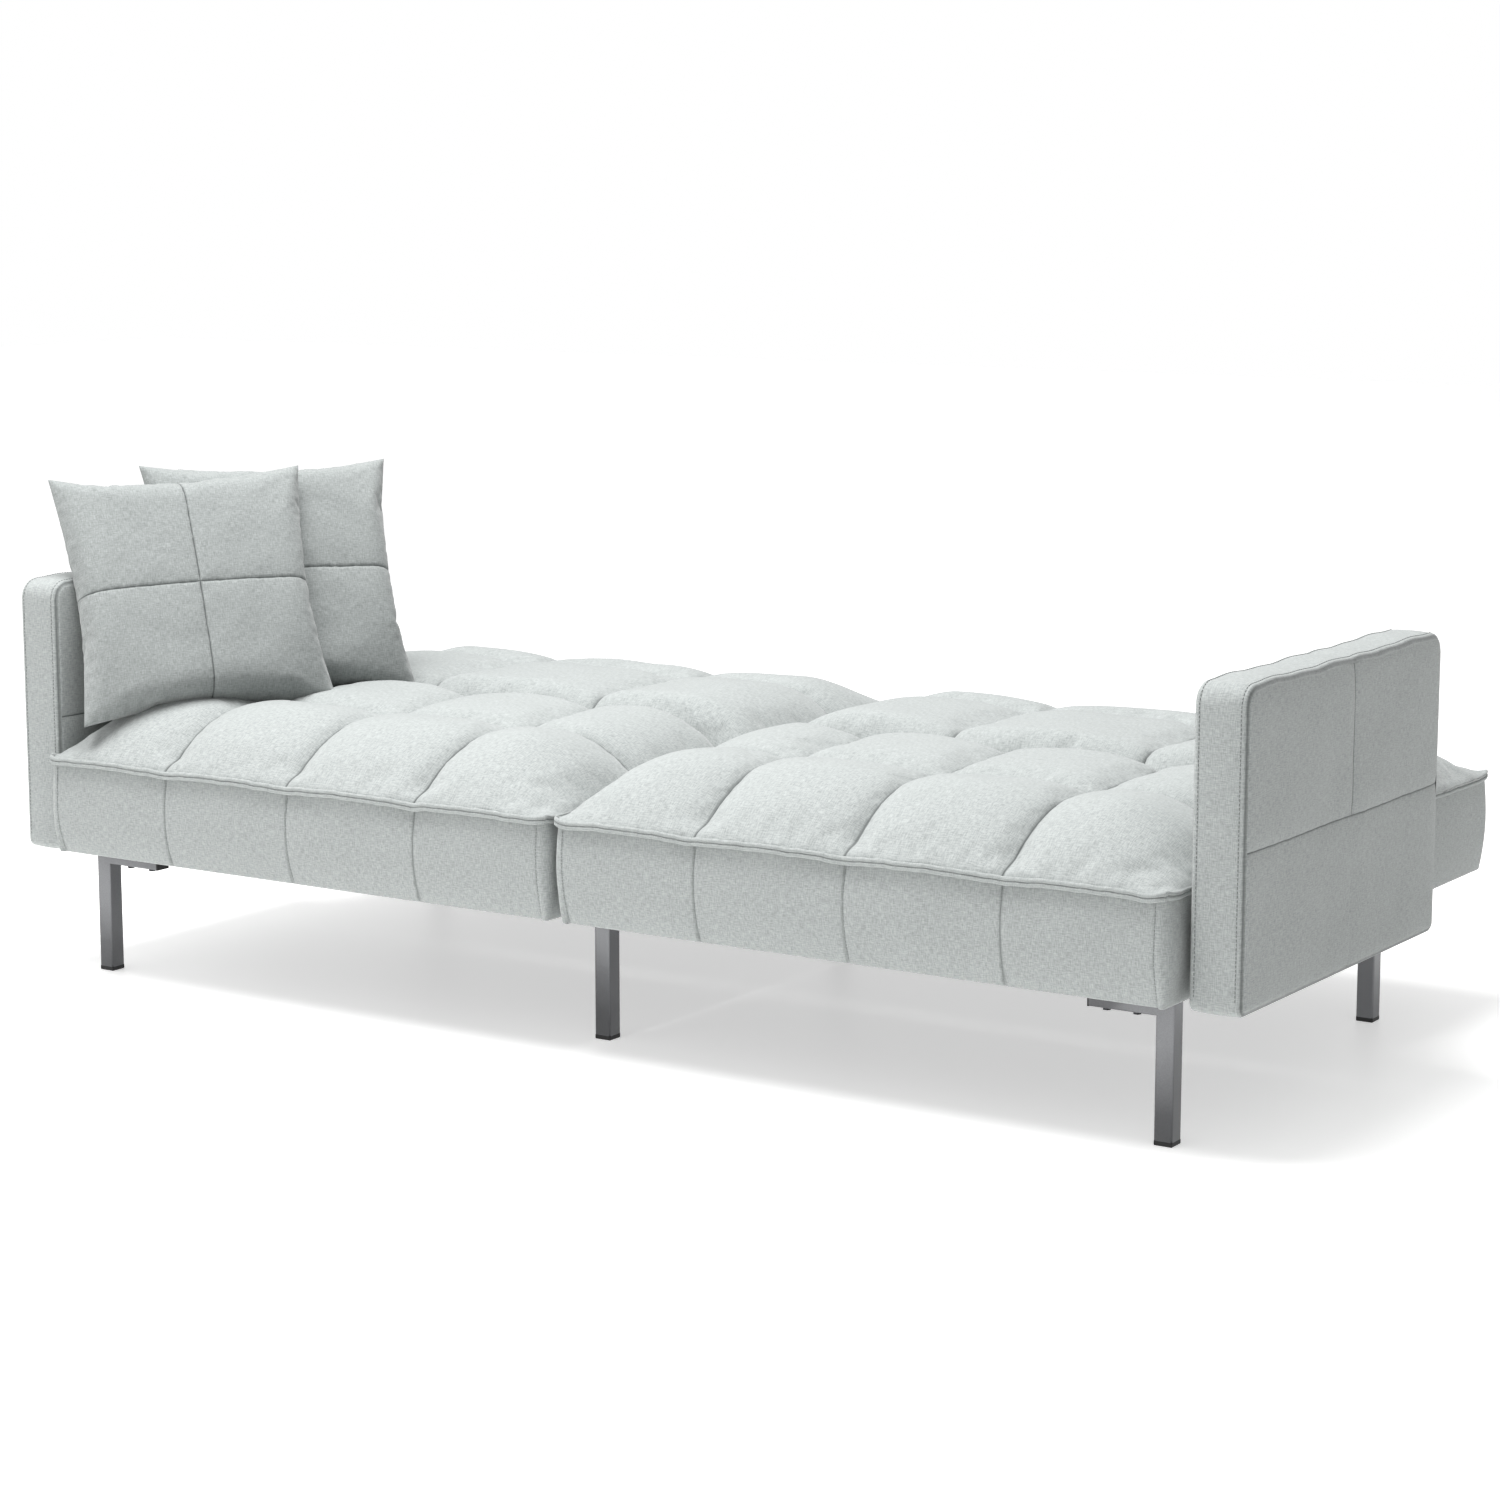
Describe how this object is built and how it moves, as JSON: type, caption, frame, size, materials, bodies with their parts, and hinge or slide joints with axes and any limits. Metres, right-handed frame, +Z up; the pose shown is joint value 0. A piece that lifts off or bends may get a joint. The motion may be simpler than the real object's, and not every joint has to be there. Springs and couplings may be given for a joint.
{
  "type": "futon sofa bed",
  "caption": "Armed futon sofa bed on thin square tube legs, shown flat: tufted seat halves, a split back that folds up on click-clack hinges, and loose square pillows.",
  "frame": {"origin": "on the floor, below the middle of the unfolded bed's rectangle", "axes": "+X along the bed's length, +Y from the seat's front edge to the rear edge of the flat back, +Z up"},
  "size_m": [1.96, 1.015, 0.7246],
  "materials": {
    "upholstery_linen": "woven light grey linen-look polyester, cool tint, seams and piping",
    "pillow_linen": "the same light grey linen-look cloth",
    "black_lining": "thin black non-woven cloth",
    "steel_tube": "satin dark gunmetal powder coat",
    "black_plastic": "moulded black, fine texture",
    "bumper_rubber": "matt",
    "hinge_steel": "black satin coat",
    "zinc_fasteners": "bright zinc",
    "nylon_bush": "natural nylon",
    "timber": "planed softwood, unfinished",
    "spring_wire": "oiled spring wire",
    "zip_pull": "black lacquered"
  },
  "bodies": {
    "chassis": {"arm_bolts": "zinc_fasteners", "arm_frame_left": "timber", "arm_frame_right": "timber", "arm_lining_left": "black_lining", "arm_lining_right": "black_lining", "arm_pad_left": "upholstery_linen", "arm_pad_right": "upholstery_linen", "back_bumpers": "bumper_rubber", "foot_cap_front_left": "black_plastic", "foot_cap_front_middle": "black_plastic", "foot_cap_front_right": "black_plastic", "foot_cap_rear_left": "black_plastic", "foot_cap_rear_middle": "black_plastic", "foot_cap_rear_right": "black_plastic", "hinge_bushes": "nylon_bush", "hinge_pin_left": "zinc_fasteners", "hinge_pin_middle": "zinc_fasteners", "hinge_pin_right": "zinc_fasteners", "hinge_plate_left": "hinge_steel", "hinge_plate_middle": "hinge_steel", "hinge_plate_right": "hinge_steel", "hinge_plate_screws": "zinc_fasteners", "leg_bolts": "zinc_fasteners", "leg_end_caps": "black_plastic", "leg_front_left": "steel_tube", "leg_front_middle": "steel_tube", "leg_front_right": "steel_tube", "leg_rear_left": "steel_tube", "leg_rear_middle": "steel_tube", "leg_rear_right": "steel_tube", "rail_left": "steel_tube", "rail_middle": "steel_tube", "rail_right": "steel_tube", "rear_cross_tube": "steel_tube", "seat_cushion_left": "upholstery_linen", "seat_cushion_right": "upholstery_linen", "seat_frame_left": "timber", "seat_frame_right": "timber", "seat_lining_left": "black_lining", "seat_lining_right": "black_lining", "seat_springs_left": "spring_wire", "seat_springs_right": "spring_wire"},
    "back_left": {"back_cushion_left": "upholstery_linen", "back_frame_left": "timber", "back_lining_left": "black_lining", "back_springs_left": "spring_wire", "hinge_arm_left_inner": "hinge_steel", "hinge_arm_left_outer": "hinge_steel", "hinge_arm_screws_left": "zinc_fasteners"},
    "back_right": {"back_cushion_right": "upholstery_linen", "back_frame_right": "timber", "back_lining_right": "black_lining", "back_springs_right": "spring_wire", "hinge_arm_right_inner": "hinge_steel", "hinge_arm_right_outer": "hinge_steel", "hinge_arm_screws_right": "zinc_fasteners"},
    "pillow_front": {"pillow_front": "pillow_linen", "zip_pull_front": "zip_pull"},
    "pillow_rear": {"pillow_rear": "pillow_linen", "zip_pull_rear": "zip_pull"}
  },
  "joints": [
    {"name": "back_left_hinge", "type": "hinge", "parent": "chassis", "child": "back_left", "pos_m": [-0.45, 0.0655, 0.326], "axis": [1, 0, 0], "range_deg": [0, 75]},
    {"name": "back_right_hinge", "type": "hinge", "parent": "chassis", "child": "back_right", "pos_m": [0.45, 0.0655, 0.326], "axis": [1, 0, 0], "range_deg": [0, 75]},
    {"name": "pillow_front_lift", "type": "slide", "parent": "chassis", "child": "pillow_front", "axis": [-0.3591, 0.2514, 0.8988], "range_m": [0, 0.2]},
    {"name": "pillow_rear_lift", "type": "slide", "parent": "chassis", "child": "pillow_rear", "axis": [-0.3591, 0.2514, 0.8988], "range_m": [0, 0.2]}
  ]
}
